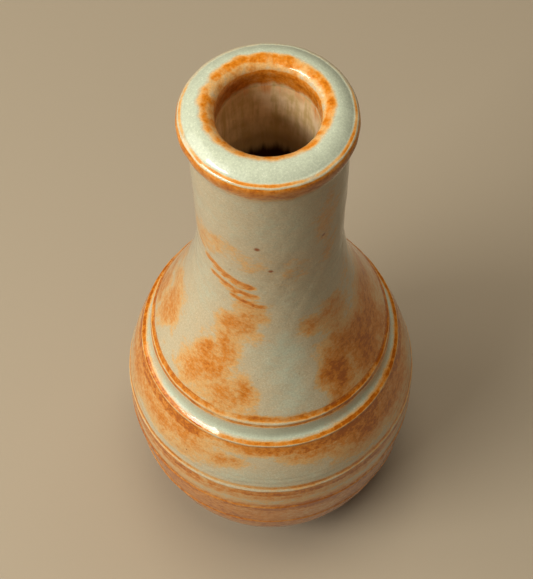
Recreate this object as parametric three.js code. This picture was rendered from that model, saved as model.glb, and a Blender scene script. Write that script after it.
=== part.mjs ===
// A thrown and glazed bottle-shaped bud vase, in millimetres, +Z up, standing on z = 0.
// The finished (glazed) surface is the master outline. Every other layer is measured inwards from it:
// the glaze coat, then a thin bond line, then the fired clay, so one changed size moves them all.
import * as THREE from 'three'

// ---- Driving dimensions of the finished vase ----
const HEIGHT = 145             // table to the crest of the rim
const RIM_RADIUS = 15          // widest part of the rim
const CREST_RADIUS = 10.9      // where the top of the rim is highest
const THROAT_RADIUS = 8.5      // glazed mouth
const NECK_RADIUS = 13.7
const NECK_BASE_Z = 113        // the straight neck starts here
const BELLY_RADIUS = 33.3
const BELLY_Z = 43             // height of the widest part
const FOOT_RADIUS = 22.5       // finished outline where the hip meets the foot

// ---- Fullness of the outline: how far each curve runs on before it turns ----
const SHOULDER_FULLNESS = 24.9
const NECK_SWEEP = 29.4
const HIP_FULLNESS = 33
const FOOT_FLARE = 3.4         // how far the hip stands out where it meets the foot
const FOOT_RISE = 5

// ---- Rim ----
const FLARE_HEIGHT = 5.7       // the neck opens over this height below the rim edge
const EDGE_DROP = 2.8          // crest down to the widest point of the rim
const EDGE_RISE = 1.6          // height of the rounded outer corner
const EDGE_TURN = 1.2          // how far that corner comes in
const THROAT_DROP = 2.4        // crest down to the straight throat
const COAT_LAP = 5.5           // crest down to where the outside coat ends, inside the throat

// ---- Turned decoration: heights of the raised edges, and their form ----
const COVE_RIDGES = [71.9, 65.9]       // the two edges either side of the cove
const BELLY_RIDGES = [50.5, 40.4, 28.7]
const COVE_RIDGE_RISE = 0.45
const BELLY_RIDGE_RISE = 0.25
const RIDGE_SPREAD = 1.3       // half of a ridge's width
const COVE_DEPTH = 0.55        // hollow between the two upper ridges

// ---- Clay ----
const WALL = 4.5
const FLOOR = 7                // table to the inside floor
const FLOOR_CORNER = 6
const FOOT_HEIGHT = 3
const FOOT_CHAMFER = 0.7
const FOOT_RING_WIDTH = 4.5
const RECESS_DEPTH = 2.6
const BARE_BAND = 1.6          // unglazed clay between the foot and the coat
const JOINT_Z = 109.5          // the neck was thrown apart and luted on here
const TONGUE_HEIGHT = 2.6      // raised tongue on the body that keys into the neck
const LUTE_GAP = 0.3           // slip line of the luted joint

// ---- Glazes ----
const COAT = 0.6
const LINER = 0.4
const FOOT_GLAZE = 0.4
const FOOT_GLAZE_MARGIN = 1.2  // bare ring left round the glazed recess
const BOND = 0.05              // line between a glaze and its clay

// ---- Fineness of the solids ----
const FACETS = 36              // flats round the vase
const BODY_STEPS = 14          // plain stations up the outside
const MARK_MARGIN = 2.4        // a plain station keeps this far from a turned mark
const RIM_STEPS = 3            // for each curve of the rim
const CAVITY_STEPS = 9
const CORNER_STEPS = 4

const SKIN = COAT + BOND
const RIM_EDGE_Z = HEIGHT - EDGE_DROP
const FLARE_Z = RIM_EDGE_Z - FLARE_HEIGHT
const COAT_TOP_Z = HEIGHT - COAT_LAP
const COAT_FOOT_Z = FOOT_HEIGHT + BARE_BAND
const BORE_RADIUS = THROAT_RADIUS + SKIN

const point = (r, z) => new THREE.Vector2(r, z)

// ---- Outline of the body: two smooth curves that meet at the belly ----
const hipCurve = new THREE.CubicBezierCurve(
  point(FOOT_RADIUS, FOOT_HEIGHT),
  point(FOOT_RADIUS + FOOT_FLARE, FOOT_HEIGHT + FOOT_RISE),
  point(BELLY_RADIUS, BELLY_Z - HIP_FULLNESS),
  point(BELLY_RADIUS, BELLY_Z)
)
const shoulderCurve = new THREE.CubicBezierCurve(
  point(BELLY_RADIUS, BELLY_Z),
  point(BELLY_RADIUS, BELLY_Z + SHOULDER_FULLNESS),
  point(NECK_RADIUS, NECK_BASE_Z - NECK_SWEEP),
  point(NECK_RADIUS, NECK_BASE_Z)
)

// Radius of a rising curve at a height, found by halving the curve's range.
function radiusAt (curve, z) {
  let low = 0
  let high = 1
  for (let i = 0; i < 40; i++) {
    const middle = (low + high) / 2
    if (curve.getPoint(middle).y < z) low = middle
    else high = middle
  }
  return curve.getPoint(low).x
}

function bodyRadius (z) {
  if (z >= NECK_BASE_Z) return NECK_RADIUS
  return radiusAt(z < BELLY_Z ? hipCurve : shoulderCurve, z)
}

// Evenly spaced heights, both ends included.
function heights (from, to, steps) {
  return Array.from({ length: steps + 1 }, (_, i) => from + (to - from) * i / steps)
}

// Raised edges and the cove, as height and offset pairs laid over the plain outline.
function turnedMarks () {
  const ridge = (z, rise) => [[z - RIDGE_SPREAD, 0], [z, rise], [z + RIDGE_SPREAD, 0]]
  return [
    ...COVE_RIDGES.flatMap((z) => ridge(z, COVE_RIDGE_RISE)),
    [(COVE_RIDGES[0] + COVE_RIDGES[1]) / 2, -COVE_DEPTH],
    ...BELLY_RIDGES.flatMap((z) => ridge(z, BELLY_RIDGE_RISE))
  ]
}

// Finished outline from the coat's lower edge to the start of the rim's flare.
function bodyOutline () {
  const marks = turnedMarks()
  const plain = heights(COAT_FOOT_Z, JOINT_Z, BODY_STEPS)
    .filter((z) => z === COAT_FOOT_Z || z === JOINT_Z ||
      marks.every(([mark]) => Math.abs(mark - z) > MARK_MARGIN))
    .map((z) => [z, 0])
  return [...marks, ...plain, [FLARE_Z, 0]]
    .sort((a, b) => a[0] - b[0])
    .map(([z, lift]) => point(bodyRadius(z) + lift, z))
}

// Finished outline of the rim: flare, rounded corner, sloping top, crest, and down into the throat.
function rimOutline () {
  const rim = new THREE.Path()
  const inner = THROAT_RADIUS
  rim.moveTo(NECK_RADIUS, FLARE_Z)
  rim.bezierCurveTo(NECK_RADIUS, FLARE_Z + FLARE_HEIGHT / 2,
    RIM_RADIUS, RIM_EDGE_Z - FLARE_HEIGHT / 3, RIM_RADIUS, RIM_EDGE_Z)
  rim.quadraticCurveTo(RIM_RADIUS, RIM_EDGE_Z + EDGE_RISE * 0.8,
    RIM_RADIUS - EDGE_TURN, RIM_EDGE_Z + EDGE_RISE)
  rim.quadraticCurveTo((RIM_RADIUS + CREST_RADIUS) / 2 - EDGE_TURN / 2, HEIGHT, CREST_RADIUS, HEIGHT)
  rim.quadraticCurveTo(inner, HEIGHT, inner, HEIGHT - THROAT_DROP)
  rim.lineTo(inner, COAT_TOP_Z)
  return rim.getPoints(RIM_STEPS).slice(1)
}

// Moves an outline sideways, each vertex along the mitre of its two sides, left of its direction.
function offset (outline, distance) {
  return outline.map((p, i) => {
    const before = outline[Math.max(i - 1, 0)]
    const after = outline[Math.min(i + 1, outline.length - 1)]
    const sides = [[before, p], [p, after]].filter(([a, b]) => a.distanceTo(b) > 0)
    const normals = sides.map(([a, b]) => point(a.y - b.y, b.x - a.x).normalize())
    const mitre = normals.reduce((sum, n) => sum.add(n), point(0, 0)).normalize()
    return p.clone().addScaledVector(mitre, distance / mitre.dot(normals[0]))
  })
}

const finished = [...bodyOutline(), ...rimOutline()]
const clayOutline = offset(finished, SKIN)

// ---- Inside of the clay: a straight bore that opens into the belly ----
const cavityShoulder = new THREE.CubicBezierCurve(
  point(BELLY_RADIUS - SKIN - WALL, BELLY_Z),
  point(BELLY_RADIUS - SKIN - WALL, BELLY_Z + SHOULDER_FULLNESS),
  point(BORE_RADIUS, JOINT_Z - NECK_SWEEP),
  point(BORE_RADIUS, JOINT_Z)
)

function cavityRadius (z) {
  return z < BELLY_Z ? bodyRadius(z) - SKIN - WALL : radiusAt(cavityShoulder, z)
}

function cavityOutline () {
  const cornerZ = FLOOR + FLOOR_CORNER
  const cornerRadius = cavityRadius(cornerZ)
  const corner = heights(0, Math.PI / 2, CORNER_STEPS).map((angle) => point(
    cornerRadius - FLOOR_CORNER + FLOOR_CORNER * Math.sin(angle),
    cornerZ - FLOOR_CORNER * Math.cos(angle)
  ))
  const wall = heights(cornerZ, JOINT_Z, CAVITY_STEPS).slice(1)
    .map((z) => point(cavityRadius(z), z))
  return [point(0, FLOOR), ...corner, ...wall]
}

const cavity = cavityOutline()

// Radius where an outline crosses a height.
function radiusOn (outline, z) {
  const i = outline.findIndex((p, k) => k > 0 && p.y >= z)
  const a = outline[i - 1]
  const b = outline[i]
  return a.x + (b.x - a.x) * (z - a.y) / (b.y - a.y)
}

// Revolves an outline about Z. The profile starts and ends on the axis or closes on itself.
function revolve (name, outline, material) {
  const geometry = new THREE.LatheGeometry(outline, FACETS)
  geometry.rotateX(Math.PI / 2)
  const mesh = new THREE.Mesh(geometry, material)
  mesh.name = name
  return mesh
}

const closed = (outline) => [...outline, outline[0].clone()]

// The tongue takes half of the wall at the joint, and the neck's socket the other half.
const TONGUE_RADIUS = (BORE_RADIUS + radiusOn(clayOutline, JOINT_Z) - LUTE_GAP) / 2

// ---- Clay body: foot ring, floor, belly, shoulder, and the tongue that keys the neck ----
function clayBody (material) {
  const ringInner = FOOT_RADIUS - FOOT_RING_WIDTH
  const jointRadius = radiusOn(clayOutline, JOINT_Z)
  const foot = [
    point(0, RECESS_DEPTH),
    point(ringInner - FOOT_CHAMFER, RECESS_DEPTH),
    point(ringInner, RECESS_DEPTH - FOOT_CHAMFER),
    point(ringInner, FOOT_CHAMFER),
    point(ringInner + FOOT_CHAMFER, 0),
    point(FOOT_RADIUS - SKIN - FOOT_CHAMFER, 0),
    point(FOOT_RADIUS - SKIN, FOOT_CHAMFER),
    point(FOOT_RADIUS - SKIN, FOOT_HEIGHT)
  ]
  const outside = clayOutline.filter((p) => p.y < JOINT_Z - BOND)
  const tongue = [
    point(jointRadius, JOINT_Z),
    point(TONGUE_RADIUS, JOINT_Z),
    point(TONGUE_RADIUS, JOINT_Z + TONGUE_HEIGHT),
    point(BORE_RADIUS, JOINT_Z + TONGUE_HEIGHT)
  ]
  return revolve('clay_body', [...foot, ...outside, ...tongue, ...cavity.toReversed()], material)
}

// ---- Clay neck: socket over the tongue, straight wall, flared rim ----
function clayNeck (material) {
  const socketRadius = TONGUE_RADIUS + LUTE_GAP
  const base = JOINT_Z + LUTE_GAP
  const shoulder = base + TONGUE_HEIGHT
  const outside = clayOutline.filter((p) => p.y > base + BOND)
  const last = outside[outside.length - 1]
  return revolve('clay_neck', closed([
    point(BORE_RADIUS, shoulder),
    point(socketRadius, shoulder),
    point(socketRadius, base),
    point(radiusOn(clayOutline, base), base),
    ...outside.slice(0, -1),
    point(BORE_RADIUS, last.y)
  ]), material)
}

// ---- Outside coat: from just above the foot, over the rim and into the throat ----
function outsideCoat (material) {
  return revolve('outer_glaze', closed([...finished, ...offset(finished, COAT).toReversed()]), material)
}

// ---- Liner: the glaze poured inside, floor to throat ----
function liner (material) {
  const top = COAT_TOP_Z - BOND
  const clay = [...cavity, point(BORE_RADIUS, top)]
  const outer = offset(clay, BOND)
  const inner = offset(clay, BOND + LINER)
  outer[outer.length - 1].y = top
  inner[inner.length - 1].y = top
  return revolve('inner_glaze', [...outer, ...inner.toReversed()], material)
}

// ---- Glaze wiped into the recess under the foot ----
function footGlaze (material) {
  const radius = FOOT_RADIUS - FOOT_RING_WIDTH - FOOT_GLAZE_MARGIN
  const top = RECESS_DEPTH - BOND
  return revolve('foot_glaze', [
    point(0, top - FOOT_GLAZE),
    point(radius - FOOT_GLAZE, top - FOOT_GLAZE),
    point(radius, top - FOOT_GLAZE / 2),
    point(radius, top),
    point(0, top)
  ], material)
}

// ---- Materials: bare stoneware, the breaking glaze, and the thinner glaze inside ----
const finish = (color, roughness) => new THREE.MeshStandardMaterial({ color, roughness, metalness: 0 })
const stoneware = finish(0xb08a63, 0.85)
const breakingGlaze = finish(0xc9b78c, 0.15)
const linerGlaze = finish(0xa98a62, 0.3)
const recessGlaze = finish(0xbfae84, 0.25)

const group = new THREE.Group()
group.add(clayBody(stoneware))
group.add(clayNeck(stoneware.clone()))
group.add(outsideCoat(breakingGlaze))
group.add(liner(linerGlaze))
group.add(footGlaze(recessGlaze))

export default group
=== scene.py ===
import math

import bpy
import numpy as np
from bpy.props import FloatProperty, FloatVectorProperty, IntProperty, PointerProperty
from bpy.types import Operator, Panel, PropertyGroup
from mathutils import Matrix, Vector


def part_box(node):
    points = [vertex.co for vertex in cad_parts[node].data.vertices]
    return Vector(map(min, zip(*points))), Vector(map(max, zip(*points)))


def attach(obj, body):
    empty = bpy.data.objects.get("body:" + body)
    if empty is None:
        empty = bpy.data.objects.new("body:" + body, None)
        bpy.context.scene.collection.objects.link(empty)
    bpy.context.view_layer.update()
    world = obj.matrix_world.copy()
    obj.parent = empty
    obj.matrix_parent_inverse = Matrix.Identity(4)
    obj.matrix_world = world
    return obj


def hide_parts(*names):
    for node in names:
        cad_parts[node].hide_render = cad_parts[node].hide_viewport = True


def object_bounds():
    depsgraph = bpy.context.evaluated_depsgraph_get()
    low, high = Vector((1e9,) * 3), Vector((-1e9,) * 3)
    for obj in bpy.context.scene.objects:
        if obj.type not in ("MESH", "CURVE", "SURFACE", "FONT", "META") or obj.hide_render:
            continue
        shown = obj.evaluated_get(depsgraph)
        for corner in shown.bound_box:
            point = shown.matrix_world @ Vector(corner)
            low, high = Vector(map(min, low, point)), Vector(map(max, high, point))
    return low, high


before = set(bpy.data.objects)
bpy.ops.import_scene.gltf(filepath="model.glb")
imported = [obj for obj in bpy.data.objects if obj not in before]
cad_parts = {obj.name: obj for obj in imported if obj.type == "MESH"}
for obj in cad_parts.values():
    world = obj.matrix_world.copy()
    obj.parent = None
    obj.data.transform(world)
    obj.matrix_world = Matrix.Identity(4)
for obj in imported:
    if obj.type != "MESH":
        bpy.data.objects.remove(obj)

bl_info = {
    "name": "Glazed bud vase",
    "version": (1, 0, 0),
    "blender": (4, 5, 0),
    "location": "View3D > Sidebar > Vase",
    "description": "Throws, lutes and glazes a small bottle vase around its packed frame",
    "category": "Add Mesh",
}

MM = 0.001
# How far the handles of the body's curves reach from the belly, up from it, and down from the neck.
HIP_REACH = 33 * MM
SHOULDER_REACH = 24.9 * MM
NECK_REACH = 29.4 * MM
# Widest part of the rim below its crest, and the height of the flare under that.
EDGE_DROP = 2.8 * MM
FLARE_HEIGHT = 5.7 * MM
# Depth of the straight throat's upper end, and of the coat's inner end, below the crest.
BEVEL_DEPTH = 2.5 * MM
COAT_DEPTH = 5.5 * MM
# How far the coat's lower edge waves up and down, and the tiny radius at its inner end.
HEM_WAVE = 0.35 * MM
ARRIS = 0.004 * MM

CAD_LOW, CAD_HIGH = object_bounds()
COAT_LOW, COAT_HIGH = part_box("outer_glaze")
LINER_LOW, LINER_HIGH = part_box("inner_glaze")
RECESS_LOW, RECESS_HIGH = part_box("foot_glaze")
TONGUE_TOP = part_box("clay_body")[1].z
NECK_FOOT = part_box("clay_neck")[0].z


# ---------------------------------------------------------------- settings


def length(name, description, default):
    """A size in metres that the sidebar shows as a length."""
    return FloatProperty(
        name=name, description=description, default=default, unit="LENGTH", precision=5
    )


def colour(name, description, default):
    """A linear colour."""
    return FloatVectorProperty(
        name=name, description=description, default=default, subtype="COLOR", size=3, min=0, max=1
    )


class VaseOutline(PropertyGroup):
    """The finished outline, foot to throat."""

    height: length("Height", "Table to the crest of the rim", CAD_HIGH.z - 0.04 * MM)
    rim_radius: length("Rim radius", "Widest part of the rim", 15.06 * MM)
    crest_radius: length("Crest radius", "Where the top of the rim is highest", 10.9 * MM)
    throat_radius: length("Throat radius", "Glazed mouth", 8.5 * MM)
    neck_radius: length("Neck radius", "Outside of the straight neck", 13.7 * MM)
    neck_base: length("Neck base", "Height where the straight neck starts", 113 * MM)
    belly_radius: length("Belly radius", "Widest part of the body", COAT_HIGH.x - 0.3 * MM)
    belly_height: length("Belly height", "Height of the widest part", 43 * MM)
    foot_radius: length("Foot radius", "Where the hip meets the foot", 22.5 * MM)
    foot_height: length("Foot height", "Bare foot below the hip", 3 * MM)


class VaseTurning(PropertyGroup):
    """Edges and hollows cut with a turning tool."""

    ridges: FloatVectorProperty(
        name="Ridges",
        description="Heights of the raised edges, highest first",
        default=(72.1 * MM, 66.2 * MM, 50.6 * MM, 40.6 * MM, 28.4 * MM),
        size=5,
        unit="LENGTH",
        precision=5,
    )
    cove_rise: length("Cove edge rise", "How far the two upper edges stand out", 0.3 * MM)
    belly_rise: length("Belly edge rise", "How far the lower edges stand out", 0.24 * MM)
    cove_depth: length("Cove depth", "Hollow between the two upper edges", 0.85 * MM)
    wobble: length("Wobble", "How far the wall strays from round", 0.1 * MM)
    neck_lean: length("Neck lean", "How far the neck stands off the axis", 0.3 * MM)


class VaseLayers(PropertyGroup):
    """Thicknesses of clay and glaze."""

    coat: length("Coat", "Thickness of the outside glaze", 0.6 * MM)
    liner: length("Liner", "Thickness of the inside glaze", 0.4 * MM)
    bond: length("Bond line", "Line between a glaze and its clay", 0.05 * MM)
    wall: length("Wall", "Thickness of the clay in the belly", 4.5 * MM)
    slip: length("Slip line", "Gap of the luted joint", 0.3 * MM)
    tongue: length("Tongue", "Height of the key between body and neck", 2.6 * MM)
    turns: IntProperty(name="Turns", description="Faces round the vase", default=256, min=32)


class VaseGlaze(PropertyGroup):
    """Colours of the glazes and the clay."""

    thick: colour("Thick glaze", "Pooled, grey green", (0.51, 0.53, 0.385))
    pale: colour("Pale glaze", "Even coat, cream", (0.56, 0.46, 0.29))
    peach: colour("Thinning glaze", "Where the coat starts to break", (0.68, 0.40, 0.15))
    rust: colour("Broken glaze", "Iron orange over thin edges", (0.62, 0.215, 0.012))
    burnt: colour("Burnt glaze", "Darkest iron spots", (0.42, 0.11, 0.002))
    speck: colour("Iron speck", "Dark specks from the clay", (0.30, 0.075, 0.002))
    tan: colour("Liner glaze", "Thin glaze inside", (0.90, 0.68, 0.42))
    clay: colour("Bare clay", "Fired stoneware", (0.50, 0.33, 0.20))


class VaseStudio(PropertyGroup):
    """Camera and lights."""

    camera_back: length("Camera back", "Distance in front of the axis", 112.8 * MM)
    camera_height: length("Camera height", "Height above the table", 293.25 * MM)
    camera_pitch: FloatProperty(
        name="Pitch", description="Downward tilt", default=math.radians(61.75), subtype="ANGLE"
    )
    camera_yaw: FloatProperty(
        name="Yaw", description="Turn to the side", default=math.radians(-0.16), subtype="ANGLE"
    )
    camera_roll: FloatProperty(
        name="Roll", description="Lean of the frame", default=math.radians(-0.76), subtype="ANGLE"
    )
    camera_lens: FloatProperty(
        name="Lens", description="Focal length", default=71.5, subtype="DISTANCE_CAMERA"
    )
    key_power: FloatProperty(name="Key", description="Window light", default=4.6, unit="POWER")
    wash_power: FloatProperty(name="Wash", description="Wide soft light", default=3.2, unit="POWER")
    fill_power: FloatProperty(name="Fill", description="Overhead light", default=5.6, unit="POWER")
    sky: FloatProperty(name="Sky", description="Even light all round", default=0.035, min=0)
    floor: colour("Floor", "Plain pale floor", (0.41, 0.335, 0.235))


# ---------------------------------------------------------------- shapes as formulas


def vase_sizes(context):
    """The settings of the outline, the turning and the layers."""
    scene = context.scene
    return scene.vase_outline, scene.vase_turning, scene.vase_layers


def ease(x):
    """Smooth step: 0 below 0, 1 above 1, and 3x squared less 2x cubed between."""
    x = np.clip(x, 0, 1)
    return x * x * (3 - 2 * x)


def hump(x, centre, half_width):
    """1 at the centre, falling as e to the minus square of the distance in half widths."""
    return np.exp(-(((x - centre) / half_width) ** 2))


def band(x, low, high, soft):
    """1 between low and high, with each side easing out over the length soft."""
    return ease((x - low) / soft + 0.5) * ease((high - x) / soft + 0.5)


def cubic(start, start_handle, end_handle, end, steps):
    """Cubic curve: the four points mixed by (1-t)^3, 3(1-t)^2 t, 3(1-t) t^2 and t^3."""
    t = np.linspace(0, 1, steps)[:, None]
    a, b, c, d = (np.array(p) for p in (start, start_handle, end_handle, end))
    return (1 - t) ** 3 * a + 3 * (1 - t) ** 2 * t * b + 3 * (1 - t) * t**2 * c + t**3 * d


def bend(start, handle, end, steps):
    """Quadratic curve, as the cubic whose handles lie two thirds of the way to its one handle."""
    a, b, c = (np.array(p) for p in (start, handle, end))
    return cubic(a, a + (b - a) * 2 / 3, c + (b - c) * 2 / 3, c, steps)


def arc(centre, radius, start, end, steps=6):
    """Points on a circle in the outline's plane, between two angles in degrees."""
    angle = np.radians(np.linspace(start, end, steps))
    return np.array(centre) + radius * np.stack([np.cos(angle), np.sin(angle)], 1)


def body_radius(o, z):
    """Radius of the plain body: one cubic from foot to belly, one from belly to neck."""
    belly = (o.belly_radius, o.belly_height)
    hip = cubic(
        (o.foot_radius, o.foot_height),
        (o.foot_radius + 3.4 * MM, o.foot_height + 5 * MM),
        (o.belly_radius, o.belly_height - HIP_REACH),
        belly,
        300,
    )
    shoulder = cubic(
        belly,
        (o.belly_radius, o.belly_height + SHOULDER_REACH),
        (o.neck_radius, o.neck_base - NECK_REACH),
        (o.neck_radius, o.neck_base),
        300,
    )
    path = np.concatenate([hip, shoulder[1:]])
    return np.interp(z, path[:, 1], path[:, 0])


def turning(t, z):
    """Offset of the turned marks: a hump at each ridge, and a cove between the upper two that drops
    at once above the lower ridge and eases out towards the upper one."""
    upper, lower = t.ridges[0], t.ridges[1]
    cove = ease((z - lower - 0.15 * MM) / (1.35 * MM)) * ease((upper - 0.9 * MM - z) / (3.2 * MM))
    edges = sum(hump(z, c, 0.45 * MM) for c in (upper, lower)) * t.cove_rise
    low_edges = sum(hump(z, c, 0.42 * MM) for c in t.ridges[2:]) * t.belly_rise
    scratches = hump(z, 53.2 * MM, 0.35 * MM) + hump(z, 55.0 * MM, 0.3 * MM)
    return edges + low_edges - t.cove_depth * cove - 0.06 * MM * scratches


def rim_path(o):
    """Flare, rounded corner, rising top, crest and throat: cubics and a straight."""
    edge = o.height - EDGE_DROP
    corner = (o.rim_radius - 1.2 * MM, edge + 1.6 * MM)
    turn = ((o.rim_radius + o.crest_radius) / 2 - 0.6 * MM, o.height)
    crest = (o.crest_radius, o.height)
    throat = (o.throat_radius, o.height - BEVEL_DEPTH)
    flare = cubic(
        (o.neck_radius, edge - FLARE_HEIGHT),
        (o.neck_radius, edge - FLARE_HEIGHT / 2),
        (o.rim_radius, edge - FLARE_HEIGHT / 3),
        (o.rim_radius, edge),
        20,
    )
    rolled_edge = bend((o.rim_radius, edge), (o.rim_radius, edge + 1.33 * MM), corner, 20)
    top = bend(corner, turn, crest, 18)
    bevel = cubic(
        crest,
        (crest[0] - 1.4 * MM, crest[1]),
        (throat[0], throat[1] + 1.6 * MM),
        throat,
        22,
    )
    inside = np.linspace(throat, (o.throat_radius + 0.2 * MM, o.height - COAT_DEPTH), 10)
    return np.concatenate([flare, rolled_edge[1:], top[1:], bevel[1:], inside[1:]])


def outline_heights(o, t, foot):
    """Heights up the body: an even spread, with close rows over each ridge, the cove and the seam."""
    flare = rim_path(o)[0, 1]
    rows = [np.linspace(foot, flare, 80)[:-1]]
    rows += [c + np.linspace(-1.4, 1.4, 21) * MM for c in t.ridges]
    rows += [np.linspace(102, 114, 22) * MM, np.linspace(52.4, 55.8, 12) * MM]
    z = np.sort(np.concatenate(rows))
    keep = np.concatenate([[True], np.diff(z) > 0.07 * MM])
    return z[keep]


def finished_outline(o, t):
    """Radius and height of the glazed surface, from the coat's lower edge to inside the throat."""
    z = outline_heights(o, t, COAT_LOW.z + HEM_WAVE)
    body = np.stack([body_radius(o, z) + turning(t, z), z], 1)
    return np.concatenate([body, rim_path(o)])


def shifted(path, distance):
    """Each point moved to the left of its direction, along the normal of the smoothed path."""
    step = np.gradient(path, axis=0)
    step /= np.linalg.norm(step, axis=1)[:, None]
    normal = np.stack([-step[:, 1], step[:, 0]], 1)
    return path + normal * distance


def run_length(path):
    """Distance along a path from its first point."""
    return np.concatenate([[0], np.cumsum(np.linalg.norm(np.diff(path, axis=0), axis=1))])


def round_angles(turns):
    """Even angles once round, as one row."""
    return np.arange(turns)[None] * (2 * math.pi / turns)


def spread(path, theta):
    """Radius and height of each point of a path, repeated at each angle."""
    return path[:, :1] + 0 * theta, path[:, 1:] + 0 * theta


def wander(theta, seed, waves=(2, 3, 5, 8, 13)):
    """A wavy line round the vase, about -1 to 1: cosines of whole waves with seeded phases."""
    rng = np.random.default_rng(seed)
    total = np.zeros_like(theta)
    for n in waves:
        total = total + np.cos(n * theta + rng.uniform(0, 2 * math.pi)) / math.sqrt(n)
    return total / 1.6


def ripple(theta, z, seed, count=26, longest=28 * MM, shortest=5 * MM):
    """A soft uneven field, about -1 to 1: cosines of whole waves round and free waves up."""
    rng = np.random.default_rng(seed)
    total = np.zeros(np.broadcast(theta, z).shape)
    for _ in range(count):
        wave = longest * (shortest / longest) ** rng.uniform()
        turns = rng.integers(1, max(2, int(200 * MM / wave)))
        phase = rng.uniform(0, 2 * math.pi)
        climb = rng.choice((-1, 1)) * 2 * math.pi / wave
        total += np.cos(turns * theta + climb * z + phase)
    return total / math.sqrt(count)


def hand_thrown(t, theta, radius, z):
    """Places a point of the true outline on the hand-made one: the radius strays by two and three
    waves round, more towards the rim, and the neck's centre stands off the axis."""
    rise = z / CAD_HIGH.z
    stray = 0.6 * np.cos(2 * theta + 0.7) * (0.3 + 0.7 * rise) + 0.3 * np.cos(3 * theta + 2.1) * rise
    grip = ease(radius / (6 * MM))
    r = radius + t.wobble * stray * grip
    lean = t.neck_lean * hump(z, 120 * MM, 22 * MM) * grip
    return np.stack([r * np.cos(theta) + lean, r * np.sin(theta), z + 0 * theta], -1)


# ---------------------------------------------------------------- meshes


def turned_mesh(name, points, poles=(False, False), looped=False, masks=None):
    """A mesh from a grid of points, rows along the outline and columns round the vase. A pole row is
    one point on the axis, and a looped outline joins its last row to its first."""
    rows, turns = points.shape[:2]
    first = 1 if poles[0] else 0
    last = rows - 1 if poles[1] else rows
    body = points[first:last].reshape(-1, 3)
    count = last - first
    column = np.arange(turns)
    beside = (column + 1) % turns
    low = np.arange(count if looped else count - 1)[:, None] * turns
    high = (low + turns) % (count * turns)
    quads = np.stack([low + column, low + beside, high + beside, high + column], -1).reshape(-1, 4)
    vertices = [body]
    triangles = []
    if poles[0]:
        pole = len(body)
        vertices.append(points[0, :1])
        triangles.append(np.stack([np.full(turns, pole), beside, column], -1))
    if poles[1]:
        pole = len(body) + (1 if poles[0] else 0)
        vertices.append(points[-1, :1])
        top = (count - 1) * turns
        triangles.append(np.stack([top + column, top + beside, np.full(turns, pole)], -1))
    vertices = np.concatenate(vertices)
    sizes = [4] * len(quads) + [3] * sum(len(x) for x in triangles)
    corners = np.concatenate([quads.ravel()] + [x.ravel() for x in triangles])
    mesh = bpy.data.meshes.new(name)
    mesh.vertices.add(len(vertices))
    mesh.vertices.foreach_set("co", vertices.astype(np.float32).ravel())
    mesh.loops.add(len(corners))
    mesh.loops.foreach_set("vertex_index", corners.astype(np.int32))
    mesh.polygons.add(len(sizes))
    starts = np.concatenate([[0], np.cumsum(sizes)[:-1]])
    mesh.polygons.foreach_set("loop_start", starts.astype(np.int32))
    mesh.update(calc_edges=True)
    mesh.shade_smooth()
    for mask, values in (masks or {}).items():
        layer = mesh.attributes.new(mask, "FLOAT", "POINT")
        flat = values[first:last].reshape(-1)
        ends = [values[i, :1] for i, pole in ((0, poles[0]), (-1, poles[1])) if pole]
        layer.data.foreach_set("value", np.concatenate([flat, *ends]).astype(np.float32))
    mesh.validate()
    piece = bpy.data.objects.new(name, mesh)
    bpy.context.scene.collection.objects.link(piece)
    return piece


def finish_piece(piece, node, material):
    """Puts a finished piece in the place of its frame node."""
    piece.data.materials.append(material)
    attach(piece, "root")
    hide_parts(node)


def ledge(low, high, steps=6):
    """A half-round edge between two points, bulging to the right of the way from low to high."""
    low, high = np.array(low), np.array(high)
    angle = np.linspace(0, math.pi, steps)[1:-1, None]
    middle, half = (low + high) / 2, (high - low) / 2
    outward = np.array([half[1], -half[0]])
    return middle - half * np.cos(angle) + outward * np.sin(angle)


def blunt(low, high, arris, steps=4):
    """A flat end between two points, to the right of the way from low to high, with each corner
    turned through a quarter circle of the arris."""
    low, high = np.array(low), np.array(high)
    along = (high - low) / np.linalg.norm(high - low)
    outward = np.array([along[1], -along[0]])
    angle = np.linspace(0, math.pi / 2, steps)[1:, None]
    first = low + arris * (along * (1 - np.cos(angle)) + outward * np.sin(angle))
    last = high + arris * (-along * (1 - np.cos(angle)) + outward * np.sin(angle))
    return np.concatenate([first, last[::-1]])


# ---------------------------------------------------------------- where the glaze breaks

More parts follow.
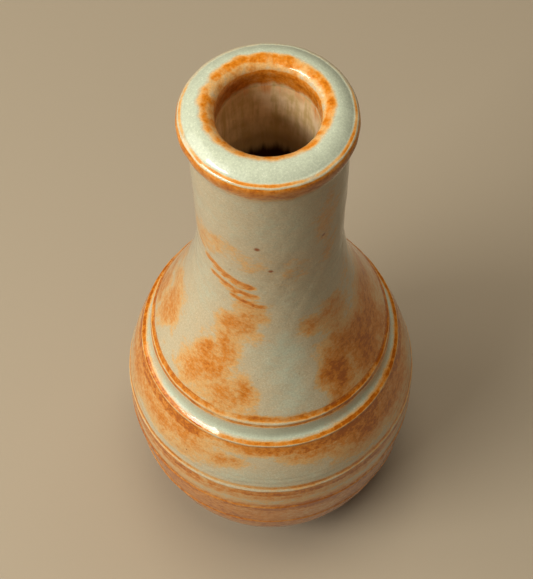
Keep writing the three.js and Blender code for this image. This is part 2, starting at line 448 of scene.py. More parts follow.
# Rust patches, and one patch of painted shade on the neck: angle round the vase in degrees, height in
# millimetres, half width in degrees, half height in millimetres, strength.
RUST_AND_SHADE_PATCHES = (
    (223, 78, 9, 4.5, 0.78),
    (232, 82, 11, 6.5, 0.84),
    (227, 86, 5, 3, 0.9),
    (246, 77, 11, 4.5, 0.76),
    (256, 79.5, 6, 3.6, 0.86),
    (242, 89.5, 9, 4.5, 0.8),
    (245, 95.5, 11, 3.0, 1.0),
    (254, 99.5, 10, 2.8, 0.8),
    (252, 102.5, 13, 3.0, 0.6),
    (244, 106.5, 18, 3.0, 0.35),
    (259, 94, 9, 2.2, 0.45),
    (186, 82, 11, 7.5, 0.8),
    (307, 79, 8, 7, 1.25),
    (318, 85, 10, 6, 1.0),
    (331, 80, 14, 8, 1.15),
    (352, 81, 16, 9, 1.1),
    (299, 95, 10, 2.2, 0.8),
    (316, 95.5, 14, 2.6, 0.8),
    (340, 99, 14, 3, 0.4),
    (190, 60, 20, 7, 0.9),
    (214, 60.5, 15, 5, 0.84),
    (232, 61.5, 12, 3.4, 0.8),
    (222, 56, 16, 3, 0.74),
    (250, 60, 9, 2.2, 0.85),
    (242, 57, 8, 2, 0.6),
    (288, 62.5, 13, 2.2, 0.8),
    (312, 61, 15, 5, 1.2),
    (336, 60, 16, 6, 1.1),
    (300, 57, 8, 3, 0.6),
    (284, 41.5, 11, 4.5, 0.9),
    (226, 119, 20, 4.6, 0.45),
    (252, 117, 16, 3.8, 0.42),
    (204, 116, 16, 4, 0.5),
    (284, 114, 18, 5, 0.36),
    # Painted shade: a tall tan band down the right side of the neck, away from the window.
    (316, 125, 10, 12, 0.55),
    (240, 131, 24, 5, 0.2),
    (14, 86, 20, 9, 0.95),
    (36, 76, 15, 4.5, 0.85),
    (52, 80, 12, 5, 0.6),
    (70, 97, 22, 4, 0.6),
    (84, 90, 12, 5, 0.75),
    (98, 80, 22, 7, 1.0),
    (124, 76, 16, 4, 0.9),
    (150, 86, 20, 8, 0.7),
    (160, 78, 13, 5, 0.85),
    (12, 60, 18, 5.5, 0.9),
    (48, 58, 16, 4, 0.8),
    (80, 61, 16, 4.5, 0.9),
    (112, 57, 14, 4, 0.7),
    (150, 60, 18, 6, 0.95),
    (40, 124, 12, 4, 0.3),
    (150, 121, 14, 4, 0.3),
)

# Strokes of the turning tool under the neck: first and last angle in degrees, height at each and half
# width in millimetres, strength.
TOOL_STROKES = (
    (205, 268, 111.2, 108.2, 0.85, 1.3),
    (214, 262, 109.6, 107.4, 0.45, 0.9),
    (212, 271, 107.5, 105.6, 0.8, 1.15),
    (222, 272, 105.9, 104.3, 0.4, 0.85),
    (234, 273, 104.2, 102.8, 0.8, 1.15),
    (192, 216, 113.8, 112.8, 0.6, 0.8),
    (276, 330, 109.6, 110.4, 0.5, 0.3),
    (10, 84, 110.4, 107.2, 0.9, 0.7),
    (40, 78, 106.6, 105.0, 0.7, 0.5),
    (98, 190, 109.0, 112.4, 0.8, 0.5),
)


def degrees_from(theta, angle):
    """Signed degrees from an angle, between -180 and 180."""
    return (np.degrees(theta) - angle + 180) % 360 - 180


def rust_and_shade_field(theta, z):
    """How strongly the coat breaks to rust away from edges: the strongest of the patches, each an ellipse
    that falls off smoothly and is pulled about by two soft fields, more so behind, and an uneven rise below
    the belly that fades where the glaze gathers over the foot. One patch, down the right side of the neck,
    is painted shade rather than rust."""
    field = np.zeros(np.broadcast(theta, z).shape)
    behind = 0.35 + 0.65 * ease(0.5 + 0.8 * np.sin(theta))
    stray = 8 * behind * ripple(theta, z, 51, 22, 40 * MM, 9 * MM)
    drift = 2.6 * behind * ripple(theta, z, 52, 22, 40 * MM, 9 * MM)
    for angle, height, half_width, half_height, strength in RUST_AND_SHADE_PATCHES:
        across = (degrees_from(theta, angle) + stray) / half_width
        along = (z / MM - height + drift) / half_height
        field = np.maximum(field, strength * np.exp(-0.5 * (across**2 + along**2)))
    hip = 0.95 * ease((50.5 - z / MM) / 4) * (1 - 0.45 * hump(z / MM, 44.4, 1.8))
    uneven = 0.97 + 0.17 * ripple(theta, z, 55, 24, 60 * MM, 14 * MM)
    hem = 1 - 0.55 * ease((9.5 - z / MM + 1.2 * wander(theta, 56)) / 5)
    return np.maximum(field, hip * uneven * hem)


def stroke_field(theta, z):
    """Tool marks: each a straight stroke on the unrolled surface, round in section, with soft ends,
    and stronger in some places than in others."""
    field = np.zeros(np.broadcast(theta, z).shape)
    for first, last, start, end, half_width, strength in TOOL_STROKES:
        along = degrees_from(theta, first) / (last - first)
        height = start + (end - start) * np.clip(along, 0, 1) + 0.25 * np.sin(along * 7)
        ends = ease(along / 0.16) * ease((1 - along) / 0.3)
        field = np.maximum(field, strength * ends * hump(z / MM, height, half_width))
    return field * (0.9 + 0.16 * wander(theta + 0.05 * z / MM, 53, (7, 11, 17, 26, 41)))


# Thin bands beside the ridges: ridge from the top, strength, from and to in millimetres off the ridge,
# softness, and whether the band waves up and down.
EDGE_BANDS = (
    (0, 1.0, 0.2, 1.4, 0.35, True),
    (0, 1.0, -1.3, -0.2, 0.35, True),
    # Weaker bands across each crest leave it a lighter peach line between rust: partly the thinner glaze's
    # colour, partly a painted highlight.
    (0, 0.5, -0.6, 0.6, 0.35, False),
    (1, 1.1, 0.15, 0.75, 0.35, False),
    # Crest line: partly the thinner glaze's colour, partly a painted highlight.
    (1, 0.5, -0.6, 0.5, 0.35, False),
    (1, 1.1, -2.2, -0.25, 0.8, True),
    (1, 0.85, -4.0, -1.5, 2.0, True),
    (2, 0.9, 0.4, 1.7, 0.6, True),
    # Crest line: partly the thinner glaze's colour, partly a painted highlight.
    (2, 0.5, -0.6, 0.6, 0.35, False),
    (2, 1.1, -3.6, -0.3, 1.4, True),
    (3, 0.8, 0.3, 1.2, 0.5, True),
    (3, 1.0, -3.0, -0.1, 1.2, True),
    (4, 0.8, 0.3, 1.2, 0.5, True),
    (4, 0.9, -2.6, -0.3, 1.2, True),
)


def ridge_lines(t, theta, z):
    """The strongest of the bands beside the ridges, stronger and weaker round the vase."""
    waved = z + 0.12 * MM * wander(theta, 3)
    lines = [
        strength * band(waved if wavy else z, t.ridges[i] + low * MM, t.ridges[i] + high * MM, soft * MM)
        for i, strength, low, high, soft, wavy in EDGE_BANDS
    ]
    return np.maximum.reduce(lines) * (0.8 + 0.2 * wander(theta, 4, (2, 3, 5, 8, 13, 21)))


def crest_run(o, theta):
    """Run along the rim to its worn crest, a little further on one side than on the other."""
    return rim_run(o, "crest") - 0.45 * MM * np.sin(theta)


def rim_lines(o, theta, along_rim):
    """The strongest of the rim's thin places: a band under the edge, a fine line on the edge that
    fades behind, an uneven fringe at the crest, the bevel, and the throat."""
    run = along_rim + 0.16 * MM * wander(theta, 5, (3, 5, 9, 14, 21))
    under = band(run, -5.0 * MM, 1.1 * MM, 0.4 * MM) * (0.1 + 1.0 * ease((run / MM + 5.2) / 4.4))
    # A pale gap is left between the band under the edge (to 1.1 mm) and this fine line (from 1.45 mm): a
    # painted highlight along the rolled edge.
    line = band(run, 1.45 * MM, 2.05 * MM, 0.35 * MM)
    line = line * (0.75 + 0.35 * wander(theta, 9, (3, 4, 7, 12, 19)))
    line = line * (1 - 0.8 * ease(0.2 + 1.1 * np.sin(theta)))
    crest = crest_run(o, theta) + 0.35 * MM * wander(theta, 6, (2, 3, 4, 7, 11, 18, 29))
    crest = crest + 0.35 * MM * np.cos(theta)
    throat = rim_run(o, "throat")
    blotches = ripple(theta, along_rim, 41, 26, 26 * MM, 6 * MM)
    front = ease(-np.sin(theta))
    left = ease(-np.cos(theta))
    fringe = band(along_rim, crest - 0.3 * MM, crest + 2.1 * MM, 1.9 * MM)
    fringe = fringe * (0.82 - 0.13 * front + (0.26 - 0.16 * front) * blotches)
    bevel = band(along_rim, crest + 0.8 * MM, throat, 0.9 * MM)
    # The bevel gets more rust on the left, where it lies in shade: partly rust, partly painted shade.
    bevel = bevel * (0.52 + 0.09 * left + 0.16 * blotches)
    inside = band(run, throat - 1.2 * MM, throat + 20 * MM, 0.9 * MM)
    return np.maximum.reduce([under, line, fringe, bevel, inside])


def edge_field(o, t, theta, z, along_rim):
    """How thin the coat is by its form: ridges and tool strokes on the body, then the rim and the mouth. It
    is lower on the ridge crests than beside them, partly a painted highlight, and in a line along the rim's
    rolled edge, a painted highlight. along_rim is the run from the rim's widest point, and is below zero
    under it."""
    body = np.maximum(ridge_lines(t, theta, z), stroke_field(theta, z))
    return np.maximum(body * (along_rim < -8 * MM), rim_lines(o, theta, along_rim))


def lap_field(o, theta, along_rim):
    """Where the coat runs down into the throat and thins over the liner: none of it to 1 mm down, all
    of it from 3.6 mm down, sooner or later round the mouth."""
    down = along_rim - rim_run(o, "throat") - 1.0 * MM + 0.6 * MM * wander(theta, 14, (4, 7, 11, 17, 23))
    return ease(down / (2.6 * MM))


def pool_field(o, t, theta, z, along_rim):
    """How thick the coat lies by its form: full in the cove and on the rim's flat top, part way
    above each lower ridge and on the neck, and thinner where the neck was smeared at its foot."""
    upper, lower, third, fourth, _ = t.ridges
    cove = band(z, lower + 1.0 * MM, upper - 1.7 * MM, 0.4 * MM)
    shelf = 0.35 * band(z, third + 2.4 * MM, third + 7.5 * MM, 2.0 * MM)
    shelf = np.maximum(shelf, 0.5 * band(z, fourth + 1.8 * MM, fourth + 6.0 * MM, 1.4 * MM))
    neck = 0.16 * band(z, 96 * MM, 138 * MM, 8 * MM)
    shoulder = 0.4 * np.exp(-((degrees_from(theta, 280) / 14) ** 2)) * band(z, 75 * MM, 96 * MM, 6 * MM)
    smear = band(z, 112 * MM, 121 * MM, 5 * MM)
    smear = smear * (0.22 + 0.1 * ripple(theta, z, 61, 26, 40 * MM, 10 * MM))
    body = np.maximum.reduce([cove, shelf, neck, shoulder]) - smear
    top = band(along_rim, 2.1 * MM, crest_run(o, theta), 1.0 * MM)
    return body * (along_rim < -3 * MM) + top


def rim_run(o, place):
    """Run along the rim from its widest point to the crest or to the straight throat."""
    path = rim_path(o)
    run = run_length(path)
    widest = run[np.argmax(path[:, 0])]
    if place == "crest":
        return run[np.argmax(path[:, 1])] - widest
    inner = np.nonzero(path[:, 0] <= o.throat_radius + 1e-7)[0][0]
    return run[inner] - widest


# ---------------------------------------------------------------- material building


class Nodes:
    """Adds nodes to one tree and joins them, so that a material reads as a list of steps."""

    def __init__(self, tree):
        self.tree = tree

    def add(self, kind, inputs=None, **settings):
        """A node of a kind, with its settings, and its inputs set or joined by name or number."""
        node = self.tree.nodes.new(kind)
        for name, value in settings.items():
            setattr(node, name, value)
        for name, value in (inputs or {}).items():
            socket = node.inputs[name]
            if isinstance(value, bpy.types.NodeSocket):
                self.tree.links.new(value, socket)
            else:
                socket.default_value = value
        return node

    def math(self, operation, a, b=0.0, clamp=False):
        """One arithmetic step."""
        node = self.add("ShaderNodeMath", {0: a, 1: b}, operation=operation, use_clamp=clamp)
        return node.outputs[0]

    def plus(self, a, b, clamp=False):
        """The sum of two values."""
        return self.math("ADD", a, b, clamp)

    def less(self, a, b):
        """The first value less the second."""
        return self.math("SUBTRACT", a, b)

    def times(self, a, b, clamp=False):
        """The product of two values."""
        return self.math("MULTIPLY", a, b, clamp)

    def scale(self, value, low, high, to_low=0.0, to_high=1.0):
        """Value carried smoothly from one range to another, held at the ends."""
        node = self.add(
            "ShaderNodeMapRange",
            {"Value": value, 1: low, 2: high, 3: to_low, 4: to_high},
            interpolation_type="SMOOTHSTEP",
        )
        return node.outputs[0]

    def noise(self, where, per_mm, detail=3.0, rough=0.55, distortion=0.0):
        """Cloudy noise with so many features to the millimetre."""
        node = self.add(
            "ShaderNodeTexNoise",
            {
                "Vector": where,
                "Scale": per_mm,
                "Detail": detail,
                "Roughness": rough,
                "Distortion": distortion,
            },
        )
        return node.outputs[0]

    def mix(self, factor, a, b):
        """Colour a, and b where the factor is 1."""
        node = self.add("ShaderNodeMix", {0: factor, 6: a, 7: b}, data_type="RGBA")
        return node.outputs[2]

    def mask(self, name):
        """A mask that the piece's mesh carries."""
        return self.add("ShaderNodeAttribute", attribute_name=name).outputs["Fac"]

    def millimetres(self, stretch=(1, 1, 1)):
        """Object coordinates in millimetres, stretched along each axis."""
        place = self.add("ShaderNodeTexCoord").outputs["Object"]
        return self.add(
            "ShaderNodeMapping",
            {"Vector": place, "Scale": tuple(s / MM for s in stretch)},
        ).outputs[0]


def group(name, inputs, outputs):
    """An empty node group with named sockets, and its input and output nodes."""
    tree = bpy.data.node_groups.new(name, "ShaderNodeTree")
    for label, kind, default in inputs:
        socket = tree.interface.new_socket(label, in_out="INPUT", socket_type=kind)
        socket.default_value = default
    for label, kind in outputs:
        tree.interface.new_socket(label, in_out="OUTPUT", socket_type=kind)
    start = tree.nodes.new("NodeGroupInput")
    end = tree.nodes.new("NodeGroupOutput")
    return tree, start.outputs, end.inputs


FLOAT = "NodeSocketFloat"
COLOUR = "NodeSocketColor"


def break_group():
    """Glaze break: turns the masks and some noise into one thickness, then into a colour."""
    tree, given, result = group(
        "glaze_break",
        [
            ("Edge", FLOAT, 0.0),
            ("Pool", FLOAT, 0.0),
            ("Patch", FLOAT, 0.0),
            ("Thick", COLOUR, (0.5, 0.5, 0.4, 1)),
            ("Pale", COLOUR, (0.6, 0.5, 0.3, 1)),
            ("Peach", COLOUR, (0.6, 0.4, 0.2, 1)),
            ("Rust", COLOUR, (0.5, 0.2, 0.05, 1)),
            ("Burnt", COLOUR, (0.3, 0.1, 0.01, 1)),
        ],
        [("Color", COLOUR), ("Thickness", FLOAT)],
    )
    n = Nodes(tree)
    where = n.millimetres((1, 1, 1.2))
    cloud = n.less(n.noise(where, 0.14, 4.0, 0.6, 0.5), 0.5)
    blotch = n.less(n.noise(where, 0.4, 4.0, 0.6, 0.1), 0.5)
    grain = n.less(n.noise(where, 1.4, 3.0, 0.6), 0.5)
    spots = n.scale(n.noise(where, 0.72, 2.0, 0.5), 0.33, 0.67, -1.0, 1.0)
    fleck = n.scale(n.noise(where, 1.9, 2.0, 0.5), 0.35, 0.65, -1.0, 1.0)
    ragged = n.plus(n.times(cloud, 1.2), n.times(blotch, 1.4))
    ragged = n.plus(ragged, n.times(grain, 0.5))
    patch = n.scale(n.plus(given["Patch"], n.times(ragged, 0.75)), 0.06, 0.64)
    depth = n.plus(0.13, n.times(given["Patch"], 0.26))
    edge = n.plus(n.times(blotch, 0.5), n.times(grain, 0.16))
    edge = n.scale(n.plus(given["Edge"], edge), 0.15, 0.9)
    worn = n.times(patch, depth)
    thin = n.math("MAXIMUM", worn, n.times(edge, 0.54))
    level = n.plus(0.7, n.times(given["Pool"], 0.3))
    level = n.less(level, thin)
    level = n.less(level, n.times(given["Patch"], 0.19))
    mottle = n.plus(n.times(spots, 0.7), n.times(fleck, 0.4))
    patchy = n.plus(n.times(worn, 0.18), n.times(edge, 0.05))
    mottle = n.times(mottle, n.plus(0.045, patchy))
    level = n.plus(level, mottle)
    level = n.plus(level, n.times(cloud, 0.3), clamp=True)
    burnt = n.mix(n.scale(level, -0.02, 0.18), given["Burnt"], given["Rust"])
    peach = n.mix(n.scale(level, 0.12, 0.44), burnt, given["Peach"])
    pale = n.mix(n.scale(level, 0.4, 0.64), peach, given["Pale"])
    thick = n.mix(n.scale(level, 0.64, 0.95), pale, given["Thick"])
    # Painted highlight: fine pale dots in the paler glaze, standing in for the sparkle of light off its
    # grain.
    painted_glints = n.scale(n.noise(where, 4.2, 1.0, 0.5), 0.6, 0.76, 0.0, 0.34)
    painted_glints = n.times(painted_glints, n.scale(level, 0.4, 0.7))
    thick = n.mix(painted_glints, thick, (0.86, 0.82, 0.66, 1))
    crystal = n.scale(n.noise(where, 2.7, 2.0, 0.65), 0.3, 0.7, 0.91, 1.075)
    thick = n.add("ShaderNodeVectorMath", {0: thick, 1: joined(n, crystal)}, operation="MULTIPLY")
    tree.links.new(thick.outputs[0], result["Color"])
    tree.links.new(level, result["Thickness"])
    return tree


def joined(n, value):
    """One value as all three parts of a vector."""
    return n.add("ShaderNodeCombineXYZ", {0: value, 1: value, 2: value}).outputs[0]


def speck_group():
    """Iron specks: rare dark dots where the cells of a fine net have their centres."""
    tree, given, result = group(
        "iron_specks",
        [("Spacing", FLOAT, 6.0), ("Size", FLOAT, 0.35)],
        [("Speck", FLOAT)],
    )
    n = Nodes(tree)
    where = n.millimetres()
    density = n.math("DIVIDE", 1.0, given["Spacing"])
    cells = n.add("ShaderNodeTexVoronoi", {"Vector": where, "Scale": density})
    distance = n.times(cells.outputs["Distance"], given["Spacing"])
    wobble = n.times(n.noise(where, 2.0), 0.3)
    distance = n.plus(distance, wobble)
    chance = n.add("ShaderNodeSeparateColor", {0: cells.outputs["Color"]}).outputs[0]
    size = n.times(given["Size"], n.scale(chance, 0.55, 1.0))
    inside = n.less(size, n.less(distance, 0.15))
    speck = n.scale(inside, 0.0, 0.18)
    tree.links.new(speck, result["Speck"])
    return tree


def surface_group():
    """Kiln surface: soft orange peel with a scatter of pinholes, as a height in millimetres."""
    tree, given, result = group(
        "kiln_surface",
        [("Peel", FLOAT, 0.03), ("Pinholes", FLOAT, 0.06)],
        [("Height", FLOAT)],
    )
    n = Nodes(tree)
    where = n.millimetres()
    coarse = n.times(n.noise(where, 0.6, 2.0, 0.5), given["Peel"])
    fine = n.times(n.noise(where, 2.2, 2.0, 0.6), n.times(given["Peel"], 0.6))
    peel = n.plus(coarse, fine)
    cells = n.add("ShaderNodeTexVoronoi", {"Vector": where, "Scale": 0.45})
    pit = n.scale(cells.outputs["Distance"], 0.0, 0.12, 1.0, 0.0)
    chance = n.add("ShaderNodeSeparateColor", {0: cells.outputs["Color"]}).outputs[1]
    pit = n.times(pit, n.scale(chance, 0.7, 0.75))
    height = n.less(peel, n.times(pit, given["Pinholes"]))
    tree.links.new(height, result["Height"])
    return tree


def clay_group():
    """Clay grain: fired sand in the bare clay, as a colour and a height in millimetres."""
    tree, given, result = group(
        "clay_grain",
        [("Clay", COLOUR, (0.5, 0.35, 0.2, 1)), ("Speck", COLOUR, (0.1, 0.05, 0.02, 1))],
        [("Color", COLOUR), ("Height", FLOAT)],
    )
    n = Nodes(tree)
    where = n.millimetres()
    turned = n.noise(n.millimetres((0.06, 0.06, 1.6)), 1.0, 3.0)
    sand = n.noise(where, 3.2, 3.0, 0.6)
    flash = n.noise(where, 0.12, 2.0)
    shade = n.plus(n.times(sand, 0.5), n.times(flash, 0.5))
    dark = n.mix(n.scale(shade, 0.3, 0.7), (0.30, 0.17, 0.09, 1), given["Clay"])
    cells = n.add("ShaderNodeTexVoronoi", {"Vector": where, "Scale": 0.8})
    dot = n.scale(cells.outputs["Distance"], 0.08, 0.16, 1.0, 0.0)
    chance = n.add("ShaderNodeSeparateColor", {0: cells.outputs["Color"]}).outputs[0]
    dot = n.times(dot, n.scale(chance, 0.6, 0.65))
    tree.links.new(n.mix(dot, dark, given["Speck"]), result["Color"])
    height = n.plus(n.times(sand, 0.06), n.times(turned, 0.12))
    tree.links.new(height, result["Height"])
    return tree


def runs_group():
    """Glaze runs: a tan that lightens and darkens in long upright streaks. Down the bore it carries painted
    shade: it darkens over the 13.5 mm above Foot and turns to a near-black painted shadow below Foot, with
    a ragged edge that follows the streaks. Foot is the height in millimetres where that painted shadow
    begins."""
    tree, given, result = group(
        "glaze_runs",
        [
            ("Tan", COLOUR, (0.6, 0.45, 0.3, 1)),
            ("Deep tan and shade", COLOUR, (0.4, 0.28, 0.16, 1)),
            ("Dark", COLOUR, (0.05, 0.03, 0.01, 1)),
            ("Foot", FLOAT, 122.5),
        ],
        [("Color", COLOUR), ("Runs", FLOAT)],
    )
    n = Nodes(tree)
    runs = n.noise(n.millimetres((1, 1, 0.12)), 0.75, 3.0, 0.6)
    mottle = n.noise(n.millimetres(), 0.5, 3.0)
    shade = n.plus(n.times(runs, 0.65), n.times(mottle, 0.35))
    tan = n.mix(n.scale(shade, 0.36, 0.64), given["Deep tan and shade"], given["Tan"])
    height = n.add("ShaderNodeSeparateXYZ", {0: n.millimetres()}).outputs[2]
    height = n.less(n.plus(height, n.times(runs, 4.0)), given["Foot"])
    # Painted shade down the bore: darker tan over the 13.5 mm above Foot, then the near-black painted
    # shadow below it.
    tan = n.mix(n.scale(height, 0.0, 13.5), given["Deep tan and shade"], tan)
    tree.links.new(n.mix(n.scale(height, 0.0, 3.0), given["Dark"], tan), result["Color"])
    tree.links.new(runs, result["Runs"])
    return tree


def shared(name, make):
    """A node group by name, made the first time that it is asked for."""
    return bpy.data.node_groups.get(name) or make()


def solid(value):
    """A colour with full alpha."""
    return (*value, 1.0)


def new_material(name):
    """A material with an empty tree, its builder, and a surface shader joined to the output."""
    material = bpy.data.materials.new(name)
    material.use_nodes = True
    material.node_tree.nodes.clear()
    n = Nodes(material.node_tree)
    shader = n.add("ShaderNodeBsdfPrincipled")
    n.add("ShaderNodeOutputMaterial", {"Surface": shader.outputs[0]})
    return material, n, shader


def join_height(n, shader, height):
    """Feeds a height in millimetres to the shader's normal."""
    bump = n.add("ShaderNodeBump", {"Height": height, "Distance": MM, "Strength": 1.0})
    n.tree.links.new(bump.outputs[0], shader.inputs["Normal"])


# Iron specks that show most: angle round the neck in degrees, then height, distance from the axis and
# radius in millimetres.
IRON_SPECKS = (
    (261, 122.6, 13.7, 0.62),
    (271, 115.3, 13.7, 0.52),
    (313, 122.0, 13.7, 0.5),
    (238, 112.4, 13.8, 0.4),
    (74, 119.0, 13.7, 0.4),
    (154, 104.0, 14.6, 0.45),
)


def placed_specks(n):
    """1 inside each named speck, from the distance to its place."""
    place = n.millimetres()
    total = 0.0
    for angle, height, reach, radius in IRON_SPECKS:
        turn = math.radians(angle)
        centre = (reach * math.cos(turn), reach * math.sin(turn), height)
        away = n.add("ShaderNodeVectorMath", {0: place, 1: centre}, operation="DISTANCE")
        spot = n.scale(away.outputs["Value"], radius * 0.4, radius * 1.3, 1.0, 0.0)
        total = n.math("MAXIMUM", total, spot)
    return total


def runs_node(n, colours):
    """The shared streaks and their painted shade down the bore, in the liner's colours."""
    runs = n.add("ShaderNodeGroup", node_tree=shared("glaze_runs", runs_group))
    runs.inputs["Tan"].default_value = solid(colours.tan)
    # The darker tan serves both the streaks and the painted shade down the bore.
    runs.inputs["Deep tan and shade"].default_value = solid(tuple(c * d for c, d in zip(colours.tan, (0.72, 0.67, 0.46))))
    # Dark is the painted shadow deep in the bore, a quarter of the speck colour.
    runs.inputs["Dark"].default_value = solid(tuple(c * 0.25 for c in colours.speck))
    return runs.outputs


def glaze_material(name, colours, masked=True):
    """The breaking glaze. It reads the piece's masks where it has them."""
    material, n, shader = new_material(name)
    broken = n.add("ShaderNodeGroup", node_tree=shared("glaze_break", break_group))
    for socket in ("Thick", "Pale", "Peach", "Rust", "Burnt"):
        broken.inputs[socket].default_value = solid(getattr(colours, socket.lower()))
    specks = n.add("ShaderNodeGroup", node_tree=shared("iron_specks", speck_group)).outputs["Speck"]
    base = broken.outputs["Color"]
    if masked:
        for socket, mask in (("Edge", "edge"), ("Pool", "pool"), ("Patch", "patch")):
            n.tree.links.new(n.mask(mask), broken.inputs[socket])
        streaks = runs_node(n, colours)
        ragged = n.times(n.less(0.5, streaks["Runs"]), 2.4)
        lap = n.times(n.mask("lap"), n.plus(1.0, ragged), clamp=True)
        base = n.mix(n.scale(lap, 0.15, 0.85), base, streaks["Color"])
        specks = n.math("MAXIMUM", n.times(specks, 0.8), placed_specks(n))
    base = n.mix(specks, base, solid(colours.speck))
    n.tree.links.new(base, shader.inputs["Base Color"])
    rough = n.scale(broken.outputs["Thickness"], 0.1, 0.7, 0.55, 0.42)
    n.tree.links.new(rough, shader.inputs["Roughness"])
    surface = n.add("ShaderNodeGroup", node_tree=shared("kiln_surface", surface_group))
    if masked:
        peel = n.scale(n.mask("pool"), 0.15, 0.8, 0.065, 0.03)
        n.tree.links.new(peel, surface.inputs["Peel"])
    swell = n.times(broken.outputs["Thickness"], 0.06)
    join_height(n, shader, n.plus(surface.outputs["Height"], swell))
    shader.inputs["Specular IOR Level"].default_value = 0.25
    shader.inputs["Coat Weight"].default_value = 0.8
    shader.inputs["Coat Roughness"].default_value = 0.06
    return material


def liner_material(name, colours):
    """The thin tan glaze inside: runs down the neck, painted shade that darkens it down the bore, and a
    little rust under the mouth.
    """
    material, n, shader = new_material(name)
    streaks = runs_node(n, colours)
    reach = n.times(n.less(streaks["Runs"], 0.5), 1.3)
    reach = n.plus(n.times(n.mask("mouth"), 0.5), reach)
    base = n.mix(n.scale(reach, 0.25, 0.9), streaks["Color"], solid(colours.rust))
    n.tree.links.new(base, shader.inputs["Base Color"])
    rough = n.scale(streaks["Runs"], 0.3, 0.7, 0.5, 0.36)
    n.tree.links.new(rough, shader.inputs["Roughness"])
    surface = n.add("ShaderNodeGroup", node_tree=shared("kiln_surface", surface_group))
    swell = n.times(streaks["Runs"], 0.08)
    join_height(n, shader, n.plus(surface.outputs["Height"], swell))
    shader.inputs["Coat Weight"].default_value = 0.4
    shader.inputs["Coat Roughness"].default_value = 0.2
    return material


def clay_material(name, colours):
    """Bare fired stoneware."""
    material, n, shader = new_material(name)
    grain = n.add("ShaderNodeGroup", node_tree=shared("clay_grain", clay_group))
    grain.inputs["Clay"].default_value = solid(colours.clay)
    grain.inputs["Speck"].default_value = solid(colours.speck)
    n.tree.links.new(grain.outputs["Color"], shader.inputs["Base Color"])
    join_height(n, shader, grain.outputs["Height"])
    shader.inputs["Roughness"].default_value = 0.82
    return material


# ---------------------------------------------------------------- pieces


def coat_rows(context):
    """The coat's two faces as rows: all of the outside, and enough of the clay side, turned round."""
    o, t, _ = vase_sizes(context)
    outside = finished_outline(o, t)
    inside = clay_outline(context, outside)
    row = np.arange(len(inside))
    coved = (inside[:, 1] > t.ridges[1] - 1 * MM) & (inside[:, 1] < t.ridges[0] + 1 * MM)
    on_rim = inside[:, 1] > o.height - 9 * MM
    keep = (row % 9 == 0) | (coved & (row % 2 == 0)) | (on_rim & (row % 4 == 0)) | (row == len(row) - 1)
    return outside, inside[keep][::-1]


def clay_outline(context, outside):
    """The clay under the coat: straight in on the body, thinner over the ridges, and along the
    normal round the rim."""
    o, t, layers = vase_sizes(context)
    flare = rim_path(o)[0, 1]
    radial = outside - np.stack([layers.coat + 0.3 * turning(t, outside[:, 1]), 0 * outside[:, 0]], 1)
    normal = shifted(outside, layers.coat)
    on_rim = np.arange(len(outside))[:, None] >= np.nonzero(outside[:, 1] >= flare)[0][0]
    return np.where(on_rim, normal, radial)


def coat_swell(theta, z):
    """How far the coat stands out or in: two soft uneven fields, and fine throwing lines that climb
    once round as a screw does, set back so that they stay inside the true outline."""
    flow = ripple(theta, z, 11) * 0.045 * MM
    flow = flow + ripple(theta, z, 12, 20, 9 * MM, 2.5 * MM) * 0.012 * MM
    thrown = 0.018 * MM * np.sin(2 * math.pi * z / (2.4 * MM) - theta + wander(theta, 8))
    return flow + thrown * band(z, 60 * MM, 136 * MM, 10 * MM) - 0.06 * MM


class VASE_OT_outer_glaze(Operator):
    """Make the outside coat, from above the foot, over the rim and into the throat"""

    bl_idname = "vase.outer_glaze"
    bl_label = "Outside glaze"

    def execute(self, context):
        """The surface's radius and height are functions of the run along the outline; the glaze adds
        a soft uneven swell along the normal, which fades out at both ends of the coat, and its lower
        edge waves up and down."""
        o, t, layers = vase_sizes(context)
        outside, inside = coat_rows(context)
        theta = round_angles(layers.turns)
        roll = ledge(inside[-1], outside[0])
        end = blunt(outside[-1], inside[0], ARRIS)
        path = np.concatenate([outside, end, inside, roll])
        radius, z = spread(path, theta)
        run = run_length(path)[:, None]
        along = run - run[np.argmax(path[:, 0] * (path[:, 1] > rim_path(o)[0, 1]))] + 0 * theta
        masks = {
            "edge": edge_field(o, t, theta, z, along),
            "pool": pool_field(o, t, theta, z, along),
            "patch": rust_and_shade_field(theta, z) * (along < -4 * MM),
            "lap": lap_field(o, theta, along),
        }
        ends = ease(run / (1.5 * MM)) * (1 - ease((along - rim_run(o, "throat")) / (2 * MM)))
        shown = (np.arange(len(path)) < len(outside))[:, None]
        swell = coat_swell(theta, z) * ends * shown
        facing = np.gradient(path, axis=0)
        facing /= np.linalg.norm(facing, axis=1)[:, None]
        radius = radius + facing[:, 1:] * swell
        z = z - facing[:, :1] * swell
        hem = 1 - ease((z - path[0, 1]) / (5 * MM))
        z = z + hem * HEM_WAVE * wander(theta, 21, (2, 5, 7, 11, 17))
        points = hand_thrown(t, theta, radius, z)
        piece = turned_mesh("outside_glaze", points, looped=True, masks=masks)
        material = glaze_material("breaking glaze", context.scene.vase_glaze)
        finish_piece(piece, "outer_glaze", material)
        return {"FINISHED"}


